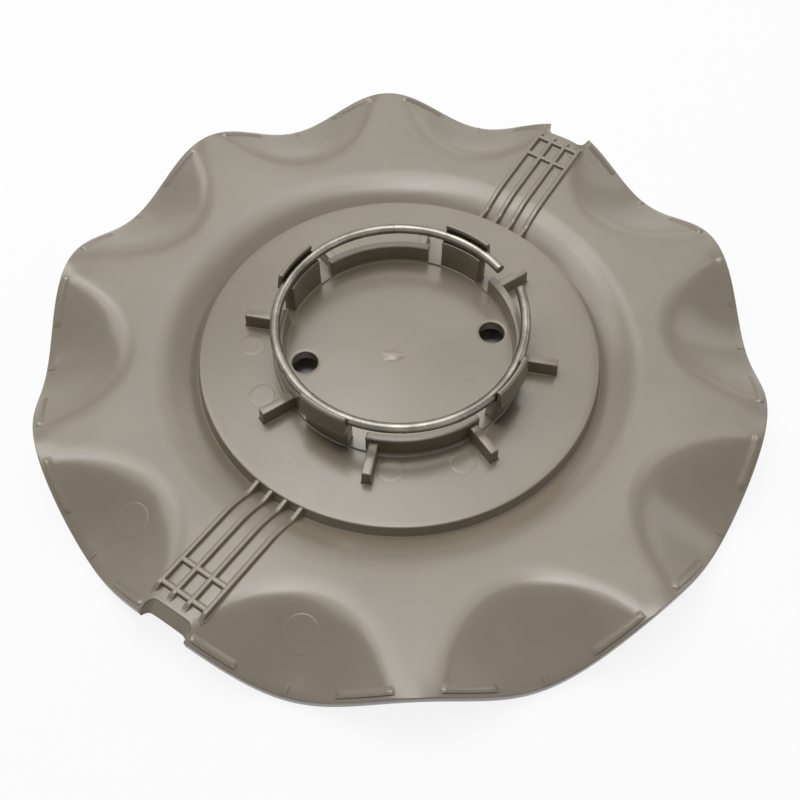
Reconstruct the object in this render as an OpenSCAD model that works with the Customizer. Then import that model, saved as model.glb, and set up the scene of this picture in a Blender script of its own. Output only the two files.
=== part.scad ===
// Wheel centre cap, seen from its back: one moulding that covers the wheel's bolts, with a leg
// ring that clips in the wheel's centre opening, and the open spring-wire ring in the legs' heads.
// The cap lies on its front, its back is up, and z = 0 is the lowest point of the front.

/* [Cap] */
// Overall diameter of the cap
outer_d = 168; // [150:1:190]
// Thickness of the moulded skin
skin = 2.8; // [2:0.1:3.6]
// Height of the rim's high points above the plateau face
rim_rise = 4.9; // [3:0.1:7]
// How far the rim drops from a high point to the middle of a pocket
pocket_depth = 9.7; // [6:0.1:12]
// Number of bolt pockets round the rim
pocket_count = 10; // [8:1:12]
// Radius of a pocket's crescent edge, seen from above
pocket_radius = 21; // [17:0.5:23]
// How far the centre of that crescent lies beyond the rim
pocket_offset = 2; // [1:0.5:4]
// Half width of the rounding along the crescent edge
crest_round = 3.6; // [1:0.1:4]

/* [Plateau] */
// Diameter of the raised plateau
plateau_d = 94; // [88:0.5:98]
// Rounding of the plateau's edge
edge_round = 0.6; // [0.3:0.1:1]
// Depth of the groove round the plateau
groove_depth = 2.4; // [1.8:0.1:3.2]
// Rounding at the bottom of the groove
groove_round = 0.7; // [0.4:0.1:1]
// Width of the slope that climbs out of the groove
slope_w = 9.2; // [8:0.1:11]
// Height of that slope
slope_h = 3.2; // [2.6:0.1:4]
// Diameter of the two pin holes
pin_hole_d = 6; // [4:0.1:8]
// Distance between the two pin holes
pin_hole_span = 45; // [36:0.5:45]

/* [Leg ring] */
// Inner diameter of the ring of legs and walls
tube_d = 54; // [50:0.5:56]
// Thickness of the low walls
wall_t = 2; // [1.6:0.1:2.6]
// Height of the low walls above the plateau
wall_h = 4.9; // [4:0.1:6]
// Width of the low base strip that legs and walls stand on
base_w = 2.5; // [2.1:0.1:3]
// Height of the base strip
base_h = 0.5; // [0.3:0.1:0.8]
// How far the base strip stands out on the inside of the ring
base_step = 0.2; // [0.1:0.05:0.4]
// Angle that each leg covers
leg_angle = 22.4; // [16:0.2:26]
// Angle of the open gap between a leg and the next wall
gap_angle = 7.4; // [5:0.2:10]
// Thickness of a leg's stem
stem_t = 2.7; // [2.6:0.1:3.2]
// How far the barb reaches out past the stem
barb_reach = 1.6; // [1:0.1:2.2]
// Height of the barb's edge above the plateau
barb_z = 7.2; // [6.4:0.1:7.6]
// Thickness of the leg head at its top
head_t = 1.1; // [0.8:0.1:1.4]
// How far the head's lip hooks over the wire
lip = 0.3; // [0.2:0.05:0.6]

/* [Gussets] */
// Thickness of the gussets on the low walls
gusset_t = 2.3; // [1.8:0.1:3]
// Height of the gussets
gusset_h = 4; // [3:0.1:4.6]
// How far a gusset reaches out from its wall
gusset_reach = 8.3; // [6:0.1:10]
// Reach of the two shorter gussets on one wall
short_reach = 5.6; // [4:0.1:8]

/* [Wire ring] */
// Diameter of the spring wire
wire_d = 2.3; // [2:0.05:2.6]
// Height of the wire's middle above the plateau
wire_z = 9.85; // [9.4:0.05:10.4]
// Clearance between the wire and the leg heads outside it
wire_fit = 0.15; // [0.05:0.01:0.3]
// Clearance between the wire and the ledges under it
ledge_fit = 0.05; // [0.02:0.01:0.1]
// Angle of the opening in the ring
ring_gap = 14; // [8:1:20]
// Direction of the middle of that opening
ring_gap_at = 59.8; // [56:0.1:64]
// How far the ring's free end springs out
spring_out = 1.3; // [0.2:0.1:1.6]
// Angle of ring that bends out with it
spring_angle = 40; // [30:1:41]

/* [Ribs and notches] */
// Ribs in each of the two packs
rib_count = 4; // [2:1:5]
// Distance between neighbouring ribs
rib_pitch = 3.9; // [3:0.1:4.5]
// Thickness of a rib
rib_t = 1.1; // [0.8:0.1:1.6]
// Height of a rib above the flange
rib_h = 1; // [0.7:0.1:1.6]
// How far inside the rim the inner cross rib lies
cross_inner = 13.5; // [11:0.5:18]
// Distance between the two cross ribs
cross_pitch = 6; // [4:0.1:7]
// Width of a pry notch in the rim
notch_w = 11.2; // [8:0.1:14]
// Depth of a pry notch from the rim, at the back face
notch_depth = 3.9; // [3:0.1:5]
// Lean of the notch's inner wall
notch_lean = 40; // [0:1:45]
// Rounding of the notch's corners
notch_round = 1.8; // [0.5:0.1:2.5]

/* [Hidden] */
$fn = 96;
outer_r = outer_d / 2;
plateau_r = plateau_d / 2;
tube_r = tube_d / 2;
rim_low = rim_rise - pocket_depth;
// Height of the plateau face above the surface that the cap lies on
face_z = skin - rim_low;
// The groove: its middle lies this far outside the plateau's edge
groove_gap = 0.9;
groove_r = plateau_r + groove_gap;
// Draft of the plateau's wall
wall_draft = 0.3;
// The revolved middle ends, and the waved flange begins, this far before the rounding of the crescents
join_land = 0.5;
join_r = outer_r + pocket_offset - pocket_radius - crest_round - join_land;
// The flange's inner edge is tucked this far into the revolved middle, and lies this far under its face
tuck = 0.5;
tuck_z = 0.6;
seam = 0.08;
// Gentle climb of the flange from the groove to the rim
climb = (rim_rise + groove_depth - slope_h) / (outer_r - groove_r);
// Steps of the curved profiles and of the waved flange
slope_steps = 10;
arc_steps = 6;
steps_per_pocket = 14;
turn_steps = steps_per_pocket * pocket_count;
pitch_angle = 360 / pocket_count;
// A land of this width stays between the crescents and the rim
rim_land = 4;
// Places of the flange's rings, as shares of the way to the crest and from the crest to the rim
before_crest = [0, 0.45, 0.75, 0.9];
after_crest = [0, 0.08, 0.17, 0.3, 0.5, 0.75, 1];
leg_count = 4;
leg_pitch = 360 / leg_count;
wall_angle = leg_pitch - leg_angle - 2 * gap_angle;
gusset_angle = 22.5;
ring_r = tube_r + stem_t - wire_fit - wire_d / 2;
ledge_z = wire_z - wire_d / 2 - ledge_fit;
lip_z = wire_z + wire_d / 2 + 0.1;
leg_h = lip_z + 1.2;
rib_end = outer_r - notch_depth - 1;
// The two cross ribs' distances from the centre
cross_places = [outer_r - cross_inner, outer_r - cross_inner + cross_pitch];
rib_root = 1.3;
// The ribs' tops start this far under the plateau face
rib_sink = 0.25;
// The sprung end of the wire is an arc of larger radius that leaves the ring at a tangent. It starts
// inside the ring, and its wire is thinner by a hair so that the two surfaces don't coincide.
spring_start = 2;
spring_d = wire_d - 0.02;
end_r = ring_r + spring_out;
end_y = end_r * sin(spring_angle);
end_x = ring_r - end_r * cos(spring_angle);
spring_r = (end_x * end_x + end_y * end_y) / (2 * end_x);
spring_turn = asin(end_y / spring_r);
spring_from = ring_gap_at - ring_gap / 2 - spring_angle;

// Smooth step from 0 to 1
function smooth(t) = let (u = min(1, max(0, t))) u * u * (3 - 2 * u);

// Back face of the flange without its pockets, measured from the plateau face
function back_z(r) =
    -groove_depth + slope_h * smooth((r - groove_r) / slope_w) + climb * (r - groove_r);

// Slope of that face, for the offset that makes the front face
function back_slope(r) = (back_z(r + 0.01) - back_z(r - 0.01)) / 0.02;

// Point of the front face: one skin thickness below the back face, square to it
function front_point(r) =
    let (m = back_slope(r), n = sqrt(1 + m * m)) [r + skin * m / n, back_z(r) - skin / n];

// Points of an arc in a profile
function arc(cx, cz, r, a0, a1) =
    [for (i = [0:arc_steps]) let (a = a0 + (a1 - a0) * i / arc_steps) [cx + r * cos(a), cz + r * sin(a)]];

// Angle from the middle of the nearest pocket
function off_pocket(a) = (a + 360 + pitch_angle / 2) % pitch_angle - pitch_angle / 2;

// Share of the pocket's depth at the rim: 1 in the middle of a pocket, 0 between pockets
function wave(a) = (1 + cos(pocket_count * a)) / 2;

// Distance of the crescent edge from the centre of the cap
function crest_r(a) =
    let (d = off_pocket(a), c = outer_r + pocket_offset, s = c * sin(d))
    min(outer_r - rim_land, c * cos(d) - sqrt(max(0, pocket_radius * pocket_radius - s * s)));

// Ramp that starts at 0 with a rounded edge
function ramp(s, w) = s < -w ? 0 : s > w ? s : (s + w) * (s + w) / (4 * w);

// Drop of the back face in a pocket
function pocket_z(r, a) =
    let (c = crest_r(a), w = min(crest_round, (outer_r - c) / 3), t = ramp(r - c, w) / (outer_r - c))
    pocket_depth * wave(a) * t * (1.35 - 0.35 * t);

// The flange's rings for one direction
function ring_places(a) =
    let (c = crest_r(a))
    concat(
        [for (s = before_crest) join_r - tuck + (c - join_r + tuck) * s],
        [for (s = after_crest) c + (outer_r - c) * s]
    );

// Plateau, groove and the slope out of it, as one revolved skin
module middle() {
    places = [for (i = [1:slope_steps]) groove_r + slope_w * i / slope_steps];
    back_slope_pts = [for (r = places) if (r < join_r - tuck) [r, back_z(r)]];
    front_slope_pts = [for (i = [slope_steps - 1:-1:0])
        let (p = front_point(places[i])) if (p[0] < join_r - tuck) p];
    join_back = back_z(join_r);
    inner_r = plateau_r - skin + wall_draft;
    ridge_z = -groove_depth - skin;
    ridge_round = min(skin / 2, 0.8 * (groove_depth - edge_round));
    rotate_extrude()
        polygon(concat(
            [[0, -skin], [0, 0]],
            arc(plateau_r - edge_round, -edge_round, edge_round, 90, 0),
            arc(plateau_r + wall_draft + groove_round, -groove_depth + groove_round, groove_round, 180, 250),
            [[groove_r, -groove_depth]],
            back_slope_pts,
            [[join_r, join_back], [join_r, join_back - skin]],
            front_slope_pts,
            [[groove_r, ridge_z]],
            arc(inner_r + ridge_round, ridge_z + ridge_round, ridge_round, 270, 180),
            arc(inner_r - edge_round, -skin - edge_round, edge_round, 0, 90)
        ));
}

// Outer flange with its ring of pockets: two waved skins, closed at the rim and at the inner edge
module waved_flange() {
    rings = len(before_crest) + len(after_crest);
    function drop(i) = i == 0 ? seam : 0;
    back = [for (k = [0:turn_steps - 1]) let (a = 360 * k / turn_steps, places = ring_places(a))
        for (i = [-1:rings - 1])
            let (r = i < 0 ? join_r - 3 * tuck : places[i])
            [r * cos(a), r * sin(a), i < 0 ? back_z(r) - tuck_z : back_z(r) - pocket_z(r, a) - drop(i)]];
    front = [for (k = [0:turn_steps - 1]) let (a = 360 * k / turn_steps, places = ring_places(a))
        for (i = [-1:rings - 1])
            let (r = i < 0 ? join_r - 3 * tuck : places[i])
            [r * cos(a), r * sin(a), i < 0 ? back_z(r) - skin + tuck_z
                : back_z(r) - skin - pocket_z(r, a) + drop(i)]];
    row = rings + 1;
    count = turn_steps * row;
    function at(k, i) = (k % turn_steps) * row + i;
    faces = concat(
        [for (k = [0:turn_steps - 1]) for (i = [0:row - 2]) [at(k, i), at(k + 1, i), at(k + 1, i + 1)]],
        [for (k = [0:turn_steps - 1]) for (i = [0:row - 2]) [at(k, i), at(k + 1, i + 1), at(k, i + 1)]],
        [for (k = [0:turn_steps - 1]) for (i = [0:row - 2])
            [count + at(k, i), count + at(k + 1, i + 1), count + at(k + 1, i)]],
        [for (k = [0:turn_steps - 1]) for (i = [0:row - 2])
            [count + at(k, i), count + at(k, i + 1), count + at(k + 1, i + 1)]],
        [for (k = [0:turn_steps - 1]) [at(k, row - 1), at(k + 1, row - 1), count + at(k + 1, row - 1)]],
        [for (k = [0:turn_steps - 1]) [at(k, row - 1), count + at(k + 1, row - 1), count + at(k, row - 1)]],
        [for (k = [0:turn_steps - 1]) [at(k, 0), count + at(k + 1, 0), at(k + 1, 0)]],
        [for (k = [0:turn_steps - 1]) [at(k, 0), count + at(k, 0), count + at(k + 1, 0)]]
    );
    polyhedron(points = concat(back, front), faces = faces, convexity = 6);
}

// Part of a revolved section, centred on a direction
module sector(at, angle) {
    rotate([0, 0, at - angle / 2]) rotate_extrude(angle = angle) children();
}

// One leg: stem, ledge under the wire, and the barbed head that hooks over it
module leg(at) {
    stem_r = tube_r + stem_t;
    sector(at, leg_angle)
        polygon([
            [tube_r, -skin / 2],
            [stem_r, -skin / 2],
            [stem_r, barb_z - 0.5],
            [stem_r + barb_reach, barb_z],
            [stem_r + head_t - 0.3, leg_h - 0.4],
            [stem_r + head_t - 0.7, leg_h],
            [stem_r - lip + 0.2, leg_h],
            [stem_r - lip, leg_h - 0.2],
            [stem_r - lip, lip_z],
            [stem_r, lip_z],
            [stem_r, ledge_z],
            [tube_r, ledge_z]
        ]);
}

// One low wall between two legs
module low_wall(at) {
    sector(at, wall_angle)
        translate([tube_r, -skin / 2]) square([wall_t, wall_h + skin / 2]);
}

// One radial gusset, with a short slope where it meets its wall
module gusset(at, reach) {
    wall_r = tube_r + wall_t;
    rotate([0, 0, at])
        rotate([90, 0, 0])
            translate([0, 0, -gusset_t / 2])
                linear_extrude(gusset_t)
                    polygon([
                        [wall_r - 0.5, -skin / 2],
                        [wall_r + reach, -skin / 2],
                        [wall_r + reach, 0],
                        [wall_r + reach - 0.3, gusset_h],
                        [wall_r + 1, gusset_h],
                        [wall_r, wall_h - 0.1],
                        [wall_r - 0.5, wall_h - 0.1]
                    ]);
}

// Base strip, legs, walls and gussets
module leg_ring() {
    rotate_extrude()
        translate([tube_r - base_step, -skin / 2]) square([base_step + base_w, base_h + skin / 2]);
    for (i = [0:leg_count - 1]) {
        leg(i * leg_pitch);
        low_wall((i + 0.5) * leg_pitch);
        for (side = [-1, 1])
            gusset((i + 0.5) * leg_pitch + side * gusset_angle, i == 1 ? short_reach : gusset_reach);
    }
}

// Height of a rib's top edge: level over the groove, then a constant height above the flange
function rib_top(s) = max(-rib_sink, back_z(s) + rib_h);

// Side view of a rib, with its root inside the skin and its outer end run out
module rib_side() {
    first = plateau_r - 1;
    steps = 12;
    last = cross_places[1] + rib_t / 2;
    tops = [for (i = [0:steps]) let (s = plateau_r + (join_r - plateau_r) * i / steps) [s, rib_top(s)]];
    roots = [for (i = [steps:-1:0]) let (s = plateau_r + (join_r - plateau_r) * i / steps)
        [s, back_z(max(s, groove_r)) - rib_root]];
    polygon(concat(
        [[first, -rib_sink]],
        tops,
        [[last, back_z(last) + rib_h], [rib_end, back_z(rib_end) - 0.3], [rib_end, back_z(rib_end) - rib_root]],
        roots,
        [[first, -rib_root]]
    ));
}

// Pack of parallel ribs with two cross ribs, running out along +Y
module rib_pack() {
    width = (rib_count - 1) * rib_pitch;
    for (i = [0:rib_count - 1])
        translate([(i - (rib_count - 1) / 2) * rib_pitch - rib_t / 2, 0, 0])
            rotate([90, 0, 90])
                linear_extrude(rib_t) rib_side();
    for (s = cross_places)
        translate([-width / 2, s - rib_t / 2, back_z(s) - rib_root])
            cube([width, rib_t, rib_h + rib_root]);
}

// Tool that cuts a pry notch through the rim at +Y, with a leaning inner wall and round corners
module notch_tool() {
    reach = notch_depth + skin * 4;
    translate([0, outer_r - notch_depth, rim_rise])
        rotate([notch_lean, 0, 0])
            translate([0, 0, -skin * 4])
                linear_extrude(skin * 8) {
                    translate([notch_round - notch_w / 2, 0]) square([notch_w - 2 * notch_round, reach]);
                    translate([-notch_w / 2, notch_round]) square([notch_w, reach - notch_round]);
                    for (side = [-1, 1])
                        translate([side * (notch_w / 2 - notch_round), notch_round]) circle(notch_round);
                }
}

module cap_body() {
    color([0.627, 0.596, 0.553])
        translate([0, 0, face_z])
            difference() {
                union() {
                    middle();
                    waved_flange();
                    leg_ring();
                    for (turn = [0, 180]) rotate([0, 0, turn]) rib_pack();
                }
                for (side = [0, 180])
                    rotate([0, 0, 45 + side])
                        translate([pin_hole_span / 2, 0, -skin - 1])
                            cylinder(h = skin + 2, d = pin_hole_d);
                for (turn = [0, 180]) rotate([0, 0, turn]) notch_tool();
            }
}

module retaining_ring() {
    full_angle = 360 - ring_gap - spring_angle;
    color([0.72, 0.71, 0.69])
        translate([0, 0, face_z + wire_z])
            rotate([0, 0, spring_from]) {
                rotate([0, 0, -full_angle])
                    rotate_extrude(angle = full_angle) translate([ring_r, 0]) circle(d = wire_d);
                translate([ring_r - spring_r, 0, 0])
                    rotate([0, 0, -spring_start])
                        rotate_extrude(angle = spring_turn + spring_start)
                            translate([spring_r, 0]) circle(d = spring_d);
            }
}

cap_body();
retaining_ring();
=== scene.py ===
"""Looks of the wheel centre cap: its moulded skin, legs, ribs and small marks, and the wire ring."""

import math

import bmesh
import bpy
from mathutils import Matrix, Quaternion, Vector, geometry


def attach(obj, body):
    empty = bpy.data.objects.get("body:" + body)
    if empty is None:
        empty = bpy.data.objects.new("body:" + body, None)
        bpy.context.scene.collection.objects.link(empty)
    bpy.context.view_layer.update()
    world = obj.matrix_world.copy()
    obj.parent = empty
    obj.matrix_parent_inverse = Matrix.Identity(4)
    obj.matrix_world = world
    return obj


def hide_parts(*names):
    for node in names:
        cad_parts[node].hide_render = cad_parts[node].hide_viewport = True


MM = 0.001

# Lengths are in millimetres and angles in degrees, and heights count from the plateau face.
# The main sizes are those of the part's source. The groove, the slope and the pockets' edges
# follow the photo more closely here.

# Flange: waved rim, and bolt pockets with crescent edges
OUTER_R = 84.0
SKIN = 2.8
RIM_RISE = 4.9
RIM_LAND = 4.0
JOIN_LAND = 0.5
POCKETS = 10
POCKET_DEPTH = 9.7
POCKET_RADIUS = 21.0
POCKET_OFFSET = 2.0
POCKET_BULGE = 0.35
CREST_ROUND = 3.6

# The pockets' edges are softened by a mean over a patch of radius POCKET_BLUR: two rings of spots,
# turned against each other. The patch shrinks over BLUR_FADE towards the rim.
POCKET_BLUR = 2.4
BLUR_FADE = 5.0
BLUR_RINGS = (0.5, 1.0)
BLUR_SPOTS = 6
BLUR_TURN = 30

# Rounding of the rim's two edges: its size, and its points as shares of that, inwards from the rim
# and away from the face
EDGE = 0.3
RIM_ROUND = ((0.5, 0.13), (0.13, 0.5), (0, 1))

# Plateau, the groove round it and the slope outside the groove
PLATEAU_R = 47.0
PLATEAU_EDGE = 0.4
EDGE_LAND = 1.6
WALL_DRAFT = 0.6
WALL_MID_DROP = 0.3
GROOVE_DEPTH = 2.75
GROOVE_GAP = 0.9
GROOVE_ROUND = 0.25
GROOVE_ROUND_TO = 262
SLOPE_W = 10.0
SLOPE_H = 3.2

# Front: a ridge opposite the groove, with a recess inside it
RIDGE_DEPTH = 5.2
RECESS_R = 44.5

# Pin holes. The profile gives the distance beyond the hole's wall and the height.
PIN_HOLE_R = 3.0
PIN_HOLE_AT = 22.5
PIN_HOLE_DIRECTIONS = (45, 225)
HOLE_POINTS = 64
HOLE_EDGE = (
    (1.0, 0),
    (0.3, 0),
    (0.13, -0.05),
    (0.04, -0.15),
    (0, -0.35),
    (0, 0.35 - SKIN),
    (0.1, 0.1 - SKIN),
    (0.3, -SKIN),
    (1.0, -SKIN),
)

# Ring of legs and low walls, which stand on a base strip and reach ROOT deep into the skin
ROOT = 1.0
TUBE_R = 27.0
WALL_T = 2.0
WALL_H = 4.9
WALL_LEAN = 0.06
WALL_ANGLE = 52.8
WALL_EDGE = 0.28
LEG_ANGLE = 22.4
LEG_EDGE = 0.16
STEM_T = 2.7
BARB_REACH = 1.6
BARB_Z = 7.2
BARB_H = 0.5
HEAD_T = 1.1
HEAD_H = 1.2
HEAD_LEAN = 0.3
HEAD_CUT = 0.4
LIP = 0.3
LIP_CUT = 0.2

# Base strip: its width and height, and its two sides as distance beyond the side and height
BASE_W = 2.5
BASE_H = 0.5
BASE_STEP = 0.2
BASE_STEPS = 144
BASE_OUTSIDE = ((0.5, -0.05), (0.16, 0.08), (0.03, 0.3), (-0.1, BASE_H))
BASE_INSIDE = ((0.08, BASE_H), (0, 0.36), (-0.03, 0.16), (-0.25, -0.05))

# Gussets outside the low walls. Those on the wall at SHORT_AT are shorter.
GUSSET_T = 2.3
GUSSET_H = 4.0
GUSSET_REACH = 8.3
SHORT_REACH = 5.6
SHORT_AT = 135
GUSSET_ANGLE = 22.5
GUSSET_INTO = 0.8
GUSSET_LEAN = 0.3
GUSSET_DRAFT = 0.12
GUSSET_EDGE = 0.26

# Fillets at the feet of the legs and gussets
LEG_SKIRT = 0.3
GUSSET_SKIRT = 0.45
SKIRT_SINK = 0.03
SKIRT_STEPS = 4

# Wire ring and its play in the legs' channels. Its ends are rounded: distance from the tip and share
# of the radius.
WIRE_D = 2.3
WIRE_Z = 9.85
WIRE_FIT = 0.15
LEDGE_FIT = 0.05
LIP_FIT = 0.1
RING_GAP = 14.0
RING_GAP_AT = 59.8
SPRING_OUT = 1.3
SPRING_ANGLE = 40.0
RING_STEPS = 180
SPRING_STEPS = 24
WIRE_POINTS = 24
WIRE_END = ((0.0, 0.9), (0.03, 0.975), (0.12, 1))

# Packs of ribs, with two cross ribs in each
RIBS = 4
RIB_PITCH = 3.9
RIB_T = 1.1
RIB_H = 1.0
RIB_SINK = 0.25
RIB_INTO = 0.5
RIB_STOP = 0.8
RIB_SPREAD = 0.08
RIB_FOOT = 0.4
RIB_ROOT = 0.06
RIB_CROWN = 0.28
RIB_LEAST = 0.02
RIB_UNDER = 0.02
CROSS_UNDER = 0.06
CROSS_AT = (70.5, 76.5)

# Pry notches in the rim
NOTCH_W = 11.2
NOTCH_DEPTH = 3.9
NOTCH_LEAN = 40.0
NOTCH_ROUND = 1.8
NOTCH_DIRECTIONS = (90, 270)

# Places that follow from the sizes
FACE_Z = SKIN + POCKET_DEPTH - RIM_RISE
GROOVE_R = PLATEAU_R + GROOVE_GAP
CLIMB = (RIM_RISE + GROOVE_DEPTH - SLOPE_H) / (OUTER_R - GROOVE_R)
PITCH = 360 / POCKETS
RING_R = TUBE_R + STEM_T - WIRE_FIT - WIRE_D / 2
RIB_END = OUTER_R - NOTCH_DEPTH - RIB_STOP

# Fineness of the skin: the plateau's disc ends at DISC_R, and the flange's rings start at JOIN_R,
# just inside the rounded edge of the pockets
DISC_R = 43.0
JOIN_R = OUTER_R + POCKET_OFFSET - POCKET_RADIUS - CREST_ROUND - JOIN_LAND
COLUMN_STEP = 0.75
NOTCH_CLEAR = 0.7
CREST_FROM_RIM = 1.2
CREST_SHARE = 0.8
NOTCH_SPAN_AT = OUTER_R - 2
SHARP_FROM = 28

# Bars along the rim. The section gives shares of a bar's width and height, from its inner side outwards.
BAR_R = 82.7
BAR_W = 1.1
BAR_H = 0.55
BAR_FROM = 3.0
BAR_TO = 11.0
BAR_AT_NOTCH = 4.4
BAR_SECTION = ((-1.25, -0.1), (-0.7, 0.5), (-0.35, 0.94), (0.1, 1), (0.42, 0.75), (0.5, -0.25))
BAR_STEPS = 24
BAR_ENDS = (0.15, 0.8, 1)

# Ejector marks: directions and distances from the middle, and a dome as shares of radius and height
MARK_H = 0.05
MARK_POINTS = 40
MARK_DOME = ((0.05, 1), (0.4, 1), (0.75, 1), (0.93, 1), (0.97, 0.6), (1, -1))
PIN_MARK_R = 3.0
PIN_MARKS = ((-32.2, 34.0), (-59.6, 33.1), (212.8, 34.9), (237.1, 34.2))
POCKET_MARK_R = 3.9
POCKET_MARK_AT = 72.4
MARKED_POCKETS = (7, 8)

# Ticks on the rim: a section across, and rows as distance from the rim and share of the height
TICK_SECTION = ((-0.55, 0.0), (0.55, 0.0), (0.42, 0.22), (-0.42, 0.22))
TICK_ROWS = ((2.2, 0.3), (2.0, 1), (0.5, 1), (0.2, 0.3))

# The blob where the plastic was let in. Waves in its outline: strength, number and phase.
GATE_AT = (-86.8, 3.0)
GATE_HALF_L = 2.7
GATE_HALF_W = 1.7
GATE_H = 0.48
GATE_SINK = 0.02
GATE_TURN = 25
GATE_RINGS = 8
GATE_POINTS = 28
GATE_WAVES = ((0.12, 3, 0.7), (0.07, 5, 0))

# Material slots of the moulding, and how much lighter its marks are. The gate's blob is made much
# lighter as a painted highlight on its glossy dome.
MARK_SLOT = 1
GATE_SLOT = 2
MARK_LIGHTNESS = 1.04
GATE_HIGHLIGHT_LIGHTNESS = 1.5

# Meshes: points closer than MERGE_WITHIN, in metres, become one, and steeper edges stay sharp
MERGE_WITHIN = 0.2e-6
CAP_SHARP = 32
WIRE_SHARP = 40


def smooth(t):
    """0 below 0, 1 above 1, and an S-shaped climb between them."""
    u = min(1.0, max(0.0, t))
    return u * u * (3 - 2 * u)


def back_z(r):
    """Height of the flange's back face without its pockets. The slope is steepest at the groove."""
    left = 1 - min(1.0, max(0.0, (r - GROOVE_R) / SLOPE_W))
    return -GROOVE_DEPTH + SLOPE_H * (1 - left * left) + CLIMB * (r - GROOVE_R)


def off_pocket(a):
    """Angle from the middle of the nearest pocket."""
    return (a + PITCH / 2) % PITCH - PITCH / 2


def crest_r(a):
    """Distance of a pocket's crescent edge from the centre."""
    d = math.radians(off_pocket(a))
    c = OUTER_R + POCKET_OFFSET
    s = c * math.sin(d)
    return min(OUTER_R - RIM_LAND, c * math.cos(d) - math.sqrt(max(0.0, POCKET_RADIUS**2 - s * s)))


def ramp(s, w):
    """A ramp that starts at 0 with a rounded edge of half width w."""
    if s < -w:
        return 0.0
    return s if s > w else (s + w) ** 2 / (4 * w)


def pocket_z(r, a):
    """Drop of the back face in a pocket."""
    c = crest_r(a)
    t = ramp(r - c, min(CREST_ROUND, (OUTER_R - c) / 2)) / (OUTER_R - c)
    wave = (1 + math.cos(math.radians(POCKETS * a))) / 2
    return POCKET_DEPTH * wave * t * (1 + POCKET_BULGE * (1 - t))


def soft_pocket_z(r, a):
    """The drop as a mean over a small round patch, which shrinks to a point at the rim."""
    reach = POCKET_BLUR * min(1.0, max(0.0, (OUTER_R - r) / BLUR_FADE))
    drops = [pocket_z(r, a)]
    for share in BLUR_RINGS:
        for k in range(BLUR_SPOTS):
            t = math.radians(360 * k / BLUR_SPOTS + BLUR_TURN * share)
            outwards = reach * share * math.cos(t)
            sideways = reach * share * math.sin(t)
            drops.append(pocket_z(r + outwards, a + math.degrees(sideways / r)))
    return sum(drops) / len(drops)


def skin_z(r, a):
    """Height of the back face outside the groove."""
    return back_z(r) - soft_pocket_z(r, a)


def polar(r, a, z):
    """A point in metres from a radius, a direction and a height over the plateau face."""
    t = math.radians(a)
    return Vector((r * math.cos(t) * MM, r * math.sin(t) * MM, (z + FACE_Z) * MM))


def arc(cr, cz, radius, start, end, steps):
    """Points of an arc in a profile of radius and height."""
    angles = [math.radians(start + (end - start) * i / steps) for i in range(steps + 1)]
    return [(cr + radius * math.cos(t), cz + radius * math.sin(t)) for t in angles]


def add_grid(bm, rows, closed=False, slot=0):
    """Faces between rows of equally many points. In a closed grid each row's end meets its start."""
    made = [[bm.verts.new(p) for p in row] for row in rows]
    count = len(made[0])
    for low, high in zip(made, made[1:]):
        for i in range(count if closed else count - 1):
            j = (i + 1) % count
            face = bm.faces.new((low[i], low[j], high[j], high[i]))
            face.material_index = slot
    return made


def round_edges(bm, offset, segments):
    """Rounds the sharp edges of a body."""
    limit = math.radians(SHARP_FROM)
    sharp = [e for e in bm.edges if len(e.link_faces) == 2 and e.calc_face_angle() > limit]
    bmesh.ops.bevel(
        bm,
        geom=sharp,
        offset=offset * MM,
        offset_type="OFFSET",
        segments=segments,
        profile=0.5,
        affect="EDGES",
        clamp_overlap=True,
    )


def add_prism(bm, sections, bevel=0.0, segments=2):
    """A closed body through sections of equally many points, with its sharp edges rounded."""
    part = bmesh.new()
    made = add_grid(part, sections, closed=True)
    part.faces.new(list(reversed(made[0])))
    part.faces.new(made[-1])
    bmesh.ops.recalc_face_normals(part, faces=part.faces)
    if bevel:
        round_edges(part, bevel, segments)
    keep = bpy.data.meshes.new("part")
    part.to_mesh(keep)
    part.free()
    bm.from_mesh(keep)
    bpy.data.meshes.remove(keep)


def add_skirt(bm, outline, size):
    """A small fillet round the foot of a wall. The outline runs anticlockwise, in metres."""
    count = len(outline)
    normals = []
    for i, p in enumerate(outline):
        before = (p - outline[i - 1]).normalized()
        after = (outline[(i + 1) % count] - p).normalized()
        side = Vector((before.y + after.y, -before.x - after.x, 0))
        normals.append(side.normalized())
    rows = []
    for step in range(SKIRT_STEPS + 1):
        t = math.radians(90 * step / SKIRT_STEPS)
        out = (size * (1 - math.sin(t)) - SKIRT_SINK) * MM
        up = Vector((0, 0, (size * (1 - math.cos(t)) - SKIRT_SINK) * MM))
        rows.append([p + n * out + up for p, n in zip(outline, normals)])
    add_grid(bm, rows, closed=True)


def notch_edge(b, inner):
    """Radius where a ray at b degrees from a notch's axis meets the notch, whose wall is at inner."""
    t = math.radians(abs(b))
    corner_x = NOTCH_W / 2 - NOTCH_ROUND
    corner_y = inner + NOTCH_ROUND
    if inner * math.tan(t) <= corner_x:
        return min(OUTER_R, inner / math.cos(t))
    along = corner_x * math.sin(t) + corner_y * math.cos(t)
    gap = along * along - (corner_x**2 + corner_y**2 - NOTCH_ROUND**2)
    return min(OUTER_R, along - math.sqrt(max(0.0, gap)))


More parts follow.
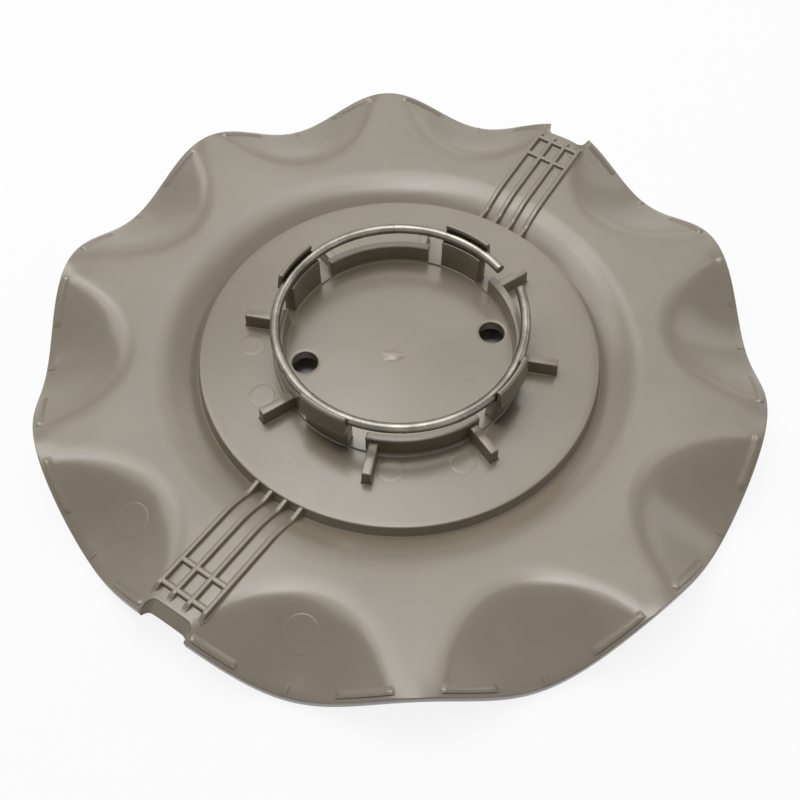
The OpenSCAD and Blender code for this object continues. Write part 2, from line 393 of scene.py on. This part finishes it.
def skin_columns():
    """Directions of the skin's columns, closer together at the notches, with the rim's radii there.

    The first radius is the back face's, the second the front face's, which differ at a notch's wall.
    """
    half = math.degrees(math.asin(NOTCH_W / 2 / NOTCH_SPAN_AT))
    within = [half * f for f in (0.15, 0.3, 0.45, 0.6, 0.7, 0.78, 0.84, 0.9, 0.95, 0.985, 1)]
    beyond = [half + f for f in (0.03, 0.12, 0.3, 0.6)]
    inner = OUTER_R - NOTCH_DEPTH
    lower = inner + SKIN * math.tan(math.radians(NOTCH_LEAN))
    columns = []
    for i in range(round(360 / COLUMN_STEP)):
        a = i * COLUMN_STEP
        if all(abs(a - n) > half + NOTCH_CLEAR for n in NOTCH_DIRECTIONS):
            columns.append((a, OUTER_R, OUTER_R))
    for n in NOTCH_DIRECTIONS:
        columns.append((n, notch_edge(0, inner), notch_edge(0, lower)))
        for side in (-1, 1):
            for b in within:
                columns.append((n + side * b, notch_edge(b, inner), notch_edge(b, lower)))
            for b in beyond:
                columns.append((n + side * b, OUTER_R, OUTER_R))
    return sorted(columns)


def middle_back():
    """Profile of the back from the disc over the plateau's edge and the groove to the slope's end."""
    foot = PLATEAU_R + WALL_DRAFT + GROOVE_ROUND
    points = [(DISC_R, 0.0), (PLATEAU_R - EDGE_LAND, 0.0)]
    points += arc(PLATEAU_R - PLATEAU_EDGE, -PLATEAU_EDGE, PLATEAU_EDGE, 90, 0, 5)
    points += [(PLATEAU_R + WALL_DRAFT / 2, (PLATEAU_EDGE - GROOVE_DEPTH) / 2 - WALL_MID_DROP)]
    points += arc(foot, -GROOVE_DEPTH + GROOVE_ROUND, GROOVE_ROUND, 180, GROOVE_ROUND_TO, 6)
    points += [(r, back_z(r)) for r in (foot + SLOPE_W * i / 18 for i in range(1, 19))]
    return points


def middle_front():
    """Profile of the front from the slope's end over the ridge back to the disc."""
    points = []
    step = 0.01
    for i in range(14, 0, -1):
        r = GROOVE_R + SLOPE_W * i / 14
        slope = (back_z(r + step) - back_z(r - step)) / (2 * step)
        length = math.sqrt(1 + slope * slope)
        points.append((r + SKIN * slope / length, back_z(r) - SKIN / length))
    points.append((GROOVE_R, -RIDGE_DEPTH))
    points += arc(RECESS_R + SKIN / 2, -RIDGE_DEPTH + SKIN / 2, SKIN / 2, 270, 180, 6)
    points += arc(RECESS_R - PLATEAU_EDGE, -SKIN - PLATEAU_EDGE, PLATEAU_EDGE, 0, 90, 5)
    points.append((DISC_R, -SKIN))
    return points


def flange_radii(a, rim):
    """Radii of the flange's rings in one column: they follow the pocket's crescent edge."""
    c = min(crest_r(a), rim - CREST_FROM_RIM)
    end = rim - EDGE
    w = min(CREST_ROUND, (OUTER_R - c) / 2, (end - c) * CREST_SHARE)
    inner = [JOIN_R + (c - w - JOIN_R) * f for f in (0, 0.25, 0.5, 0.75, 0.9)]
    crest = [c + w * f for f in (-1, -0.66, -0.33, 0, 0.33, 0.66, 1)]
    outer = [c + w + (end - c - w) * f for f in (0.1, 0.22, 0.36, 0.52, 0.7, 0.87, 1)]
    return inner + crest + outer


def skin_column(a, rim, foot):
    """Points of one column: out over the back face, round the rim, and in over the front face."""
    points = [polar(r, a, z) for r, z in middle_back()]
    radii = flange_radii(a, rim)
    points += [polar(r, a, skin_z(r, a)) for r in radii]
    top = skin_z(rim, a)
    low = skin_z(foot, a) - SKIN
    points += [polar(rim - EDGE * f, a, top - EDGE * g) for f, g in RIM_ROUND]
    points += [polar(foot - EDGE * f, a, low + EDGE * g) for f, g in reversed(RIM_ROUND)]
    scale = (foot - EDGE - JOIN_R) / (radii[-1] - JOIN_R)
    for r in reversed(radii[:11:2] + radii[11:]):
        under = JOIN_R + (r - JOIN_R) * scale
        points.append(polar(under, a, skin_z(under, a) - SKIN))
    return points + [polar(r, a, z) for r, z in middle_front()]


def add_skin(bm):
    """The moulded skin: back face, rounded rim with its notches, and front face."""
    columns = [skin_column(*place) for place in skin_columns()]
    around = columns + [columns[0]]
    add_grid(bm, [list(row) for row in zip(*around)])
    add_disc(bm, [c[0] for c in columns], [c[-1] for c in columns])


def add_disc(bm, top_edge, low_edge):
    """The plateau's flat disc with its two pin holes."""
    around = [math.radians(360 * i / HOLE_POINTS) for i in range(HOLE_POINTS)]
    holes = []
    for direction in PIN_HOLE_DIRECTIONS:
        centre = polar(PIN_HOLE_AT, direction, 0)
        rings = []
        for r, z in HOLE_EDGE:
            wall = PIN_HOLE_R + r
            ring = [Vector((wall * math.cos(t), wall * math.sin(t), z)) for t in around]
            rings.append([centre + p * MM for p in ring])
        holes.append(rings)
        add_grid(bm, rings, closed=True)
    for edge, level in ((top_edge, 0), (low_edge, -1)):
        loops = [edge] + [rings[level] for rings in holes]
        points = [bm.verts.new(p) for loop in loops for p in loop]
        for triple in geometry.tessellate_polygon(loops):
            bm.faces.new([points[i] for i in triple])


def turns_across(middle, angle, steps):
    """Evenly spaced directions across a sector."""
    return [middle - angle / 2 + angle * i / steps for i in range(steps + 1)]


def sector(profile, middle, angle, steps):
    """Sections of a profile of radius and height that turns about the cap's axis."""
    return [[polar(r, a, z) for r, z in profile] for a in turns_across(middle, angle, steps)]


def add_leg(bm, at):
    """A clip leg: stem, ledge, channel for the wire, and the head with its barb."""
    stem = TUBE_R + STEM_T
    ledge = WIRE_Z - WIRE_D / 2 - LEDGE_FIT
    lip_z = WIRE_Z + WIRE_D / 2 + LIP_FIT
    top = lip_z + HEAD_H
    profile = [
        (TUBE_R, -ROOT),
        (stem, -ROOT),
        (stem, BARB_Z - BARB_H),
        (stem + BARB_REACH, BARB_Z),
        (stem + HEAD_T - HEAD_LEAN, top - HEAD_CUT),
        (stem + HEAD_T - HEAD_LEAN - HEAD_CUT, top),
        (stem - LIP + LIP_CUT, top),
        (stem - LIP, top - LIP_CUT),
        (stem - LIP, lip_z),
        (stem, lip_z),
        (stem, ledge),
        (TUBE_R, ledge),
    ]
    add_prism(bm, sector(profile, at, LEG_ANGLE, steps=18), bevel=LEG_EDGE)
    turns = turns_across(at, LEG_ANGLE, steps=16)
    outside = [polar(stem, a, BASE_H) for a in turns]
    inside = [polar(TUBE_R, a, BASE_H) for a in reversed(turns)]
    add_skirt(bm, outside + inside, LEG_SKIRT)


def add_low_wall(bm, at):
    """A low wall between two legs."""
    outer = TUBE_R + WALL_T
    inner = TUBE_R
    profile = [(inner, -ROOT), (outer, -ROOT), (outer - WALL_LEAN, WALL_H), (inner + WALL_LEAN, WALL_H)]
    add_prism(bm, sector(profile, at, WALL_ANGLE, steps=36), bevel=WALL_EDGE, segments=3)


def add_gusset(bm, at, reach):
    """A radial gusset on a low wall."""
    wall = TUBE_R + WALL_T
    half = GUSSET_T / 2
    turn = Matrix.Rotation(math.radians(at), 4, "Z")
    rows = []
    for r, lean in ((wall - GUSSET_INTO, 0.0), (wall + reach * 0.5, 0.0), (wall + reach, GUSSET_LEAN)):
        section = [
            (r, -half, -ROOT),
            (r, half, -ROOT),
            (r - lean, half - GUSSET_DRAFT, GUSSET_H),
            (r - lean, GUSSET_DRAFT - half, GUSSET_H),
        ]
        rows.append([turn @ Vector((x * MM, y * MM, (z + FACE_Z) * MM)) for x, y, z in section])
    add_prism(bm, rows, bevel=GUSSET_EDGE, segments=3)
    foot = [(wall, -half), (wall + reach, -half), (wall + reach, half), (wall, half)]
    add_skirt(bm, [turn @ Vector((x * MM, y * MM, FACE_Z * MM)) for x, y in foot], GUSSET_SKIRT)


def add_leg_ring(bm):
    """Base strip, legs, low walls and gussets."""
    high = TUBE_R + BASE_W
    low = TUBE_R - BASE_STEP
    profile = [(high + r, z) for r, z in BASE_OUTSIDE] + [(low + r, z) for r, z in BASE_INSIDE]
    around = [360 * i / BASE_STEPS for i in range(BASE_STEPS)]
    add_grid(bm, [[polar(r, a, z) for a in around] for r, z in profile], closed=True)
    for i in range(4):
        add_leg(bm, 90 * i)
        middle = 90 * i + 45
        add_low_wall(bm, middle)
        reach = SHORT_REACH if middle == SHORT_AT else GUSSET_REACH
        for side in (-1, 1):
            add_gusset(bm, middle + side * GUSSET_ANGLE, reach)


def rib_top(s):
    """Height of a rib's top edge at distance s from the centre."""
    return max(-RIB_SINK, back_z(s) + RIB_H)


def rib_section(centre, side, ground, top):
    """Cross-section of a rib: a fillet at its foot, drafted sides and a rounded top."""
    half = RIB_T / 2
    height = max(top - ground, RIB_LEAST)
    foot = min(RIB_FOOT, height * 0.6)
    crown = min(RIB_CROWN, height * 0.3)
    shape = [
        (half + RIB_SPREAD + foot, -RIB_ROOT),
        (half + RIB_SPREAD + foot * 0.3, foot * 0.22),
        (half + RIB_SPREAD * 0.75, foot),
        (half, height - crown),
        (half - crown * 0.3, height - crown * 0.3),
        (half - crown, height),
    ]
    section = [(x, z) for x, z in shape] + [(-x, z) for x, z in reversed(shape)]
    return [centre + side * (x * MM) + Vector((0, 0, (ground + z) * MM)) for x, z in section]


def ground_z(x, s):
    """Height of the skin under a rib at x beside the notch axis and s along it."""
    r = math.hypot(x, s)
    if r < GROOVE_R:
        return -GROOVE_DEPTH
    return skin_z(r, 90 - math.degrees(math.atan2(x, s)))


def add_rib(bm, turn, stops, across, top_at):
    """One rib over stops of x beside the notch axis and s along it. The axis across spans its width."""
    rows = []
    for x, s in stops:
        ground = ground_z(x, s)
        centre = Vector((x * MM, s * MM, FACE_Z * MM))
        rows.append([turn @ p for p in rib_section(centre, Vector(across), ground, top_at(s, ground))])
    add_prism(bm, rows)


def long_rib_top(s, ground):
    """Height of a long rib, which fades into the skin beyond the outer cross rib."""
    start = CROSS_AT[1] + RIB_T / 2
    fade = 1 - smooth((s - start) / (RIB_END - start))
    return ground + (rib_top(s) - ground) * fade - RIB_UNDER


def cross_rib_top(s, ground):
    """Height of a cross rib, a little under the long ribs."""
    return rib_top(s) - CROSS_UNDER


def add_rib_pack(bm, turn):
    """Four ribs along the notch axis and two cross ribs, turned about the cap's axis."""
    offsets = [(i - (RIBS - 1) / 2) * RIB_PITCH for i in range(RIBS)]
    start = PLATEAU_R - RIB_INTO
    for x in offsets:
        stops = [(x, start + (RIB_END - start) * i / 64) for i in range(65)]
        add_rib(bm, turn, stops, (1, 0, 0), long_rib_top)
    for s in CROSS_AT:
        stops = [(offsets[0] + (offsets[-1] - offsets[0]) * i / 24, s) for i in range(25)]
        add_rib(bm, turn, stops, (0, -1, 0), cross_rib_top)


def add_rim_bar(bm, start, end):
    """A raised bar just inside the rim, between two directions."""
    rows = []
    for k in range(BAR_STEPS + 1):
        a = start + (end - start) * k / BAR_STEPS
        grow = BAR_ENDS[min(k, BAR_STEPS - k, 2)]
        section = []
        for x, z in BAR_SECTION:
            r = BAR_R + x * BAR_W
            rise = z * grow if z > 0 else z
            section.append(polar(r, a, skin_z(r, a) + rise * BAR_H))
        rows.append(section)
    add_prism(bm, rows)


def add_rim_bars(bm):
    """Two bars at each high point of the rim, one on each side."""
    for i in range(POCKETS):
        high = PITCH * (i + 0.5)
        start = BAR_AT_NOTCH if high in NOTCH_DIRECTIONS else BAR_FROM
        for side in (-1, 1):
            add_rim_bar(bm, high + side * start, high + side * BAR_TO)


def add_mark(bm, at, r0, radius, ground):
    """A round ejector mark that follows the skin under it."""
    centre = polar(r0, at, 0)
    rings = []
    for share, rise in MARK_DOME:
        ring = []
        for i in range(MARK_POINTS):
            t = math.radians(360 * i / MARK_POINTS)
            p = centre + Vector((math.cos(t), math.sin(t), 0)) * (radius * share * MM)
            r = math.hypot(p.x, p.y) / MM
            z = ground(r, math.degrees(math.atan2(p.y, p.x))) + rise * MARK_H
            ring.append(Vector((p.x, p.y, (z + FACE_Z) * MM)))
        rings.append(ring)
    made = add_grid(bm, list(reversed(rings)), closed=True, slot=MARK_SLOT)
    bm.faces.new(made[-1]).material_index = MARK_SLOT


def plateau_z(r, a):
    """Height of the plateau face."""
    return 0.0


def add_tick(bm, at):
    """A small radial tick on the rim."""
    rows = []
    for inwards, grow in TICK_ROWS:
        r = OUTER_R - inwards
        base = skin_z(r, at)
        rows.append([polar(r, at + math.degrees(x / r), base + z * grow) for x, z in TICK_SECTION])
    add_prism(bm, rows)


def add_marks(bm):
    """Ejector marks on the plateau and in the pockets, the ticks on the rim, and the gate's blob."""
    for at, r in PIN_MARKS:
        add_mark(bm, at, r, PIN_MARK_R, plateau_z)
    for i in range(POCKETS):
        if i in MARKED_POCKETS:
            add_mark(bm, PITCH * i, POCKET_MARK_AT, POCKET_MARK_R, skin_z)
        add_tick(bm, PITCH * i)
    add_gate(bm)


def add_gate(bm):
    """The small uneven blob where the plastic was let in."""
    at, r = GATE_AT
    centre = polar(r, at, 0)
    turn = Quaternion((0, 0, 1), math.radians(GATE_TURN))
    rings = []
    for k in range(GATE_RINGS):
        share = 1 - k / GATE_RINGS
        ring = []
        for i in range(GATE_POINTS):
            t = math.radians(360 * i / GATE_POINTS)
            wobble = 1 + sum(part * math.sin(count * t + phase) for part, count, phase in GATE_WAVES)
            x = GATE_HALF_L * share * wobble * math.cos(t)
            y = GATE_HALF_W * share * wobble * math.sin(t)
            z = GATE_H * (1 - share * share) - GATE_SINK
            ring.append(centre + turn @ Vector((x * MM, y * MM, z * MM)))
        rings.append(ring)
    # The blob's faces take the gate's material, which is lightened as a painted highlight.
    made = add_grid(bm, rings, closed=True, slot=GATE_SLOT)
    bm.faces.new(made[-1]).material_index = GATE_SLOT


def finish_mesh(bm, name, sharp_angle):
    """Turns the shape into an object with smooth faces and sharp edges."""
    bmesh.ops.remove_doubles(bm, verts=bm.verts, dist=MERGE_WITHIN)
    mesh = bpy.data.meshes.new(name)
    bm.to_mesh(mesh)
    bm.free()
    mesh.shade_smooth()
    mesh.set_sharp_from_angle(angle=math.radians(sharp_angle))
    piece = bpy.data.objects.new(name, mesh)
    bpy.context.scene.collection.objects.link(piece)
    return piece


def make_cap():
    """The moulded cap, one piece that stands for the part's body."""
    bm = bmesh.new()
    add_skin(bm)
    add_leg_ring(bm)
    for angle in (0, math.pi):
        add_rib_pack(bm, Matrix.Rotation(angle, 4, "Z"))
    add_rim_bars(bm)
    add_marks(bm)
    piece = finish_mesh(bm, "cap_moulding", CAP_SHARP)
    piece.data.materials.append(plastic("cap_plastic_look", 1.0))
    piece.data.materials.append(plastic("cap_mark_look", MARK_LIGHTNESS))
    # The gate's material is made lighter as a painted highlight on the blob.
    piece.data.materials.append(plastic("cap_gate_painted_highlight_look", GATE_HIGHLIGHT_LIGHTNESS))
    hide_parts("cap_body")
    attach(piece, "root")


def wire_path():
    """Centre line of the wire in millimetres: a round ring whose last stretch springs outwards."""
    end_r = RING_R + SPRING_OUT
    turn = math.radians(SPRING_ANGLE)
    end_x = RING_R - end_r * math.cos(turn)
    end_y = end_r * math.sin(turn)
    spring_r = (end_x**2 + end_y**2) / (2 * end_x)
    spring_turn = math.degrees(math.asin(end_y / spring_r))
    leave = RING_GAP_AT - RING_GAP / 2 - SPRING_ANGLE
    full = 360 - RING_GAP - SPRING_ANGLE
    points = []
    for i in range(RING_STEPS + 1):
        t = math.radians(leave - full + full * i / RING_STEPS)
        points.append(Vector((RING_R * math.cos(t), RING_R * math.sin(t), 0)))
    t = math.radians(leave)
    hub = Vector((math.cos(t), math.sin(t), 0)) * (RING_R - spring_r)
    for i in range(1, SPRING_STEPS + 1):
        t = math.radians(leave + spring_turn * i / SPRING_STEPS)
        points.append(hub + Vector((spring_r * math.cos(t), spring_r * math.sin(t), 0)))
    return points


def wire_section(p, along, share):
    """A round section of the wire across the direction along, at a share of its radius."""
    side = Vector((along.y, -along.x, 0))
    level = Vector((0, 0, FACE_Z + WIRE_Z))
    turns = [math.radians(360 * i / WIRE_POINTS) for i in range(WIRE_POINTS)]
    rounds = [side * math.cos(t) + Vector((0, 0, 1)) * math.sin(t) for t in turns]
    return [(p + level + n * (WIRE_D / 2 * share)) * MM for n in rounds]


def make_wire():
    """The ring of spring wire, with its ends a little rounded."""
    bm = bmesh.new()
    path = wire_path()
    last = len(path) - 1
    rows = []
    for i, p in enumerate(path):
        along = (path[min(i + 1, last)] - path[max(i - 1, 0)]).normalized()
        if i == 0:
            rows += [wire_section(p + along * back, along, share) for back, share in WIRE_END]
        elif i == last:
            rows += [wire_section(p - along * back, along, share) for back, share in reversed(WIRE_END)]
        else:
            rows.append(wire_section(p, along, 1))
    made = add_grid(bm, rows, closed=True)
    bm.faces.new(list(reversed(made[0])))
    bm.faces.new(made[-1])
    bmesh.ops.recalc_face_normals(bm, faces=bm.faces)
    piece = finish_mesh(bm, "wire_ring", WIRE_SHARP)
    piece.data.materials.append(steel())
    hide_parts("retaining_ring")
    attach(piece, "root")


# Colours as shares of red, green and blue
PLASTIC_DARK = (0.204, 0.172, 0.124)
PLASTIC_LIGHT = (0.235, 0.200, 0.147)
DUST = (0.33, 0.30, 0.25)
STEEL_DARK = (0.14, 0.13, 0.113)
STEEL_LIGHT = (0.235, 0.22, 0.193)
FLOOR_SHADE = (0.9, 0.9, 0.9)
WHITE = (1, 1, 1)


def opaque(colour, lightness=1.0):
    """A colour as Blender's four values, made lighter or darker."""
    return (*(share * lightness for share in colour), 1)


def feed(tree, socket, value):
    """Links another node's output to a socket, or sets the socket to a plain value."""
    if isinstance(value, bpy.types.NodeSocket):
        tree.links.new(value, socket)
    else:
        socket.default_value = value


def node(tree, kind, **values):
    """A shader node with its inputs fed by name."""
    made = tree.nodes.new(kind)
    for name, value in values.items():
        feed(tree, made.inputs[name.replace("_", " ")], value)
    return made


def empty_material(name):
    """A material without nodes, and its node tree."""
    material = bpy.data.materials.new(name)
    material.use_nodes = True
    tree = material.node_tree
    tree.nodes.clear()
    return material, tree


def object_place(tree):
    """The place on the object, in metres, which the patterns follow."""
    return tree.nodes.new("ShaderNodeTexCoord").outputs["Object"]


def mixed(tree, factor, first, second):
    """Mixes two colours by a factor."""
    made = tree.nodes.new("ShaderNodeMix")
    made.data_type = "RGBA"
    feed(tree, made.inputs["A"], first)
    feed(tree, made.inputs["B"], second)
    feed(tree, made.inputs["Factor"], factor)
    return made.outputs["Result"]


def maths(tree, operation, first, second):
    """Works out a value from two others."""
    made = tree.nodes.new("ShaderNodeMath")
    made.operation = operation
    feed(tree, made.inputs[0], first)
    feed(tree, made.inputs[1], second)
    return made.outputs["Value"]


def spread(tree, value, low, high, to_low, to_high):
    """Maps a value from one range to another, clamped, with soft ends."""
    made = node(tree, "ShaderNodeMapRange", From_Min=low, From_Max=high, To_Min=to_low, To_Max=to_high)
    made.interpolation_type = "SMOOTHSTEP"
    feed(tree, made.inputs["Value"], value)
    return made.outputs["Result"]


def noise(tree, scale, detail, place):
    """A cloudy pattern from 0 to 1."""
    made = node(tree, "ShaderNodeTexNoise", Scale=scale, Detail=detail, Roughness=0.55, Vector=place)
    return made.outputs["Fac"]


def bump(tree, height, strength, distance):
    """Normals of a fine relief."""
    made = node(tree, "ShaderNodeBump", Strength=strength, Distance=distance, Height=height)
    return made.outputs["Normal"]


def show(tree, shader, kind="ShaderNodeOutputMaterial"):
    """Links a shader to the tree's output."""
    node(tree, kind, Surface=shader)


def plastic(name, lightness):
    """Satin moulded plastic: soft clouds of colour and gloss, specks of dust, and fine grain."""
    material, tree = empty_material(name)
    place = object_place(tree)
    clouds = noise(tree, 28, 3, place)
    specks = noise(tree, 900, 2, place)
    grain = noise(tree, 3200, 2, place)
    dark = opaque(PLASTIC_DARK, lightness)
    light = opaque(PLASTIC_LIGHT, lightness)
    base = mixed(tree, spread(tree, clouds, 0.35, 0.65, 0, 1), dark, light)
    shader = node(
        tree,
        "ShaderNodeBsdfPrincipled",
        Base_Color=mixed(tree, spread(tree, specks, 0.62, 0.8, 0, 0.15), base, opaque(DUST)),
        Roughness=spread(tree, clouds, 0.3, 0.7, 0.27, 0.22),
        IOR=1.5,
        Specular_IOR_Level=0.6,
        Normal=bump(tree, grain, 0.12, 0.00004),
    )
    show(tree, shader.outputs["BSDF"])
    return material


def steel():
    """Drawn spring wire: bright, with faint lines and a little staining."""
    material, tree = empty_material("spring_steel_look")
    place = object_place(tree)
    stains = noise(tree, 160, 3, place)
    lines = noise(tree, 2400, 2, place)
    stained = spread(tree, stains, 0.35, 0.7, 0, 1)
    shader = node(
        tree,
        "ShaderNodeBsdfPrincipled",
        Base_Color=mixed(tree, stained, opaque(STEEL_DARK), opaque(STEEL_LIGHT)),
        Roughness=spread(tree, lines, 0.3, 0.7, 0.24, 0.38),
        Metallic=1.0,
        Normal=bump(tree, lines, 0.15, 0.00003),
    )
    show(tree, shader.outputs["BSDF"])
    return material


def seen_directly(tree):
    """1 for rays from the camera, in mirrors and through glass, 0 for rays that light the object."""
    path = tree.nodes.new("ShaderNodeLightPath")
    total = path.outputs["Is Camera Ray"]
    for name in ("Is Glossy Ray", "Is Transmission Ray"):
        total = maths(tree, "MAXIMUM", total, path.outputs[name])
    return total


# The stage, in metres. The floor's glow fades out under the cap, between two distances from the middle.
FLOOR_SIZE = 3.0
FLOOR_GLOW = 0.88
GLOW_NONE_AT = 0.055
GLOW_FULL_AT = 0.075
WORLD_LIGHT = 0.0
# Lamps: name, azimuth and elevation in degrees, size, power
LAMP_DISTANCE = 0.8
LAMPS = (
    ("top", 0, 90, 0.20, 1.08),
    ("key", 150, 70, 0.35, 1.70),
    ("back", 90, 70, 0.35, 0.68),
    ("left", 210, 70, 0.35, 0.80),
    ("side_left", 180, 50, 0.35, 1.12),
    ("middle_back", 120, 50, 0.35, 0.58),
    ("low_left", 150, 25, 0.35, 0.18),
    ("low_back", 105, 25, 0.35, 0.36),
    ("low_right", 60, 25, 0.35, 0.44),
    ("right", 0, 30, 0.35, 0.36),
)
# The photo's camera, fitted to the plateau's edge, the wire and the rim. The roll is in degrees, and
# the lens and sensor are in millimetres.
CAMERA_AT = (0.0744862, -0.1136969, 0.1945915)
CAMERA_TARGET = (0.0083500, -0.0123330, 0.0076)
CAMERA_ROLL = 0.577
CAMERA_LENS = 43.98
SENSOR_WIDTH = 36


def floor_look():
    """White where it is seen directly, apart from under the cap, and a plain pale floor for light."""
    material, tree = empty_material("floor_look")
    diffuse = node(tree, "ShaderNodeBsdfDiffuse", Color=opaque(FLOOR_SHADE))
    glow = node(tree, "ShaderNodeEmission", Color=opaque(WHITE), Strength=1.0)
    reach = tree.nodes.new("ShaderNodeVectorMath")
    reach.operation = "LENGTH"
    feed(tree, reach.inputs[0], object_place(tree))
    clear = spread(tree, reach.outputs["Value"], GLOW_NONE_AT, GLOW_FULL_AT, 0, 1)
    share = maths(tree, "MULTIPLY", maths(tree, "MULTIPLY", seen_directly(tree), clear), FLOOR_GLOW)
    mix = node(tree, "ShaderNodeMixShader", Fac=share)
    feed(tree, mix.inputs[1], diffuse.outputs["BSDF"])
    feed(tree, mix.inputs[2], glow.outputs["Emission"])
    show(tree, mix.outputs["Shader"])
    return material


def make_floor():
    """A plain pale floor under the cap."""
    bm = bmesh.new()
    half = FLOOR_SIZE / 2
    outline = [(-half, -half), (half, -half), (half, half), (-half, half)]
    bm.faces.new([bm.verts.new((x, y, 0)) for x, y in outline])
    mesh = bpy.data.meshes.new("floor")
    bm.to_mesh(mesh)
    bm.free()
    mesh.materials.append(floor_look())
    floor = bpy.data.objects.new("floor", mesh)
    bpy.context.scene.collection.objects.link(floor)


def make_world():
    """A white background that is seen and gives no light."""
    world = bpy.data.worlds.new("studio")
    bpy.context.scene.world = world
    world.use_nodes = True
    tree = world.node_tree
    tree.nodes.clear()
    strength = spread(tree, seen_directly(tree), 0, 1, WORLD_LIGHT, 1.0)
    background = node(tree, "ShaderNodeBackground", Color=opaque(WHITE), Strength=strength)
    show(tree, background.outputs["Background"], "ShaderNodeOutputWorld")


def make_lamps():
    """Soft square lamps above and beside the cap, all pointed at its middle."""
    for name, azimuth, elevation, size, power in LAMPS:
        lamp = bpy.data.lights.new(name, "AREA")
        lamp.shape = "SQUARE"
        lamp.size = size
        lamp.energy = power
        piece = bpy.data.objects.new(name, lamp)
        t = math.radians(azimuth)
        up = math.radians(elevation)
        way = Vector((math.cos(t) * math.cos(up), math.sin(t) * math.cos(up), math.sin(up)))
        piece.location = way * LAMP_DISTANCE
        piece.rotation_mode = "QUATERNION"
        piece.rotation_quaternion = (-way).to_track_quat("-Z", "Y")
        bpy.context.scene.collection.objects.link(piece)


def make_camera():
    """The camera at the photo's viewing angle."""
    data = bpy.data.cameras.new("photo_camera")
    data.sensor_width = SENSOR_WIDTH
    data.lens = CAMERA_LENS
    camera = bpy.data.objects.new("photo_camera", data)
    look = (Vector(CAMERA_TARGET) - Vector(CAMERA_AT)).to_track_quat("-Z", "Y")
    camera.location = CAMERA_AT
    camera.rotation_mode = "QUATERNION"
    camera.rotation_quaternion = look @ Quaternion((0, 0, 1), math.radians(CAMERA_ROLL))
    bpy.context.scene.collection.objects.link(camera)
    bpy.context.scene.camera = camera


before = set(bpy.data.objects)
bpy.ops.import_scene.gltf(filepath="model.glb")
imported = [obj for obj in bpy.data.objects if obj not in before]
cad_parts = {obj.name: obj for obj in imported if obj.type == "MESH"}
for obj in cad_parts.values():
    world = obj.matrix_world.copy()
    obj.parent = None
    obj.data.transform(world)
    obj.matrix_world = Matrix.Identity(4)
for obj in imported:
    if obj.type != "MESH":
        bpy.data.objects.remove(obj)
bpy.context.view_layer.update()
make_camera()
make_world()
make_lamps()
make_floor()
make_cap()
make_wire()
bpy.context.scene.view_settings.view_transform = "Standard"
